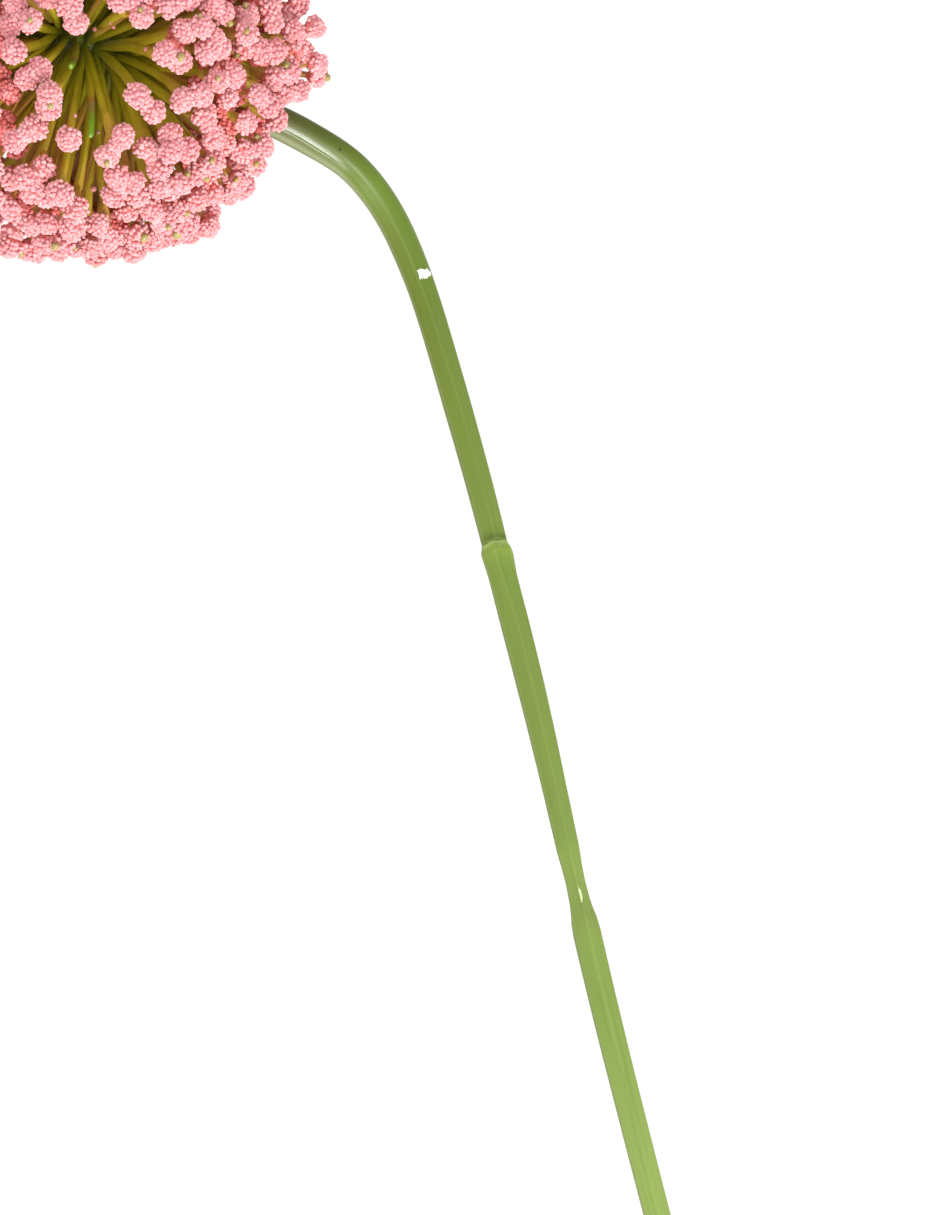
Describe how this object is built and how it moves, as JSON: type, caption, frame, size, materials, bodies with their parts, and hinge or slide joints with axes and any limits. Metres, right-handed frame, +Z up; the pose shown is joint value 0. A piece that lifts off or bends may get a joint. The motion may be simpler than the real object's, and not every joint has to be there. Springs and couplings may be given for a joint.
{
  "type": "artificial allium flower head",
  "caption": "Round artificial allium head of beaded clusters on radiating rays, with a bent green stem, lying on its side.",
  "frame": {"origin": "centre of the bounding box's footprint, on the surface that the flower lies on", "axes": "+Z up, +Y along the lying stem from its cut end towards the head"},
  "size_m": [0.1699, 0.3132, 0.0891],
  "materials": {
    "pink_beads": "foam beads with a faint sheen",
    "stem_green": "satin, as moulded",
    "steel_wire": "plain drawn wire"
  },
  "bodies": {
    "root": {"rosette_01": "pink_beads", "rosette_02": "pink_beads", "rosette_03": "pink_beads", "rosette_04": "pink_beads", "rosette_05": "pink_beads", "rosette_06": "pink_beads", "rosette_07": "pink_beads", "rosette_08": "pink_beads", "rosette_09": "pink_beads", "rosette_10": "pink_beads", "stem_upper": "stem_green", "stem_lower": "stem_green", "stem_wire": "steel_wire"}
  },
  "joints": []
}
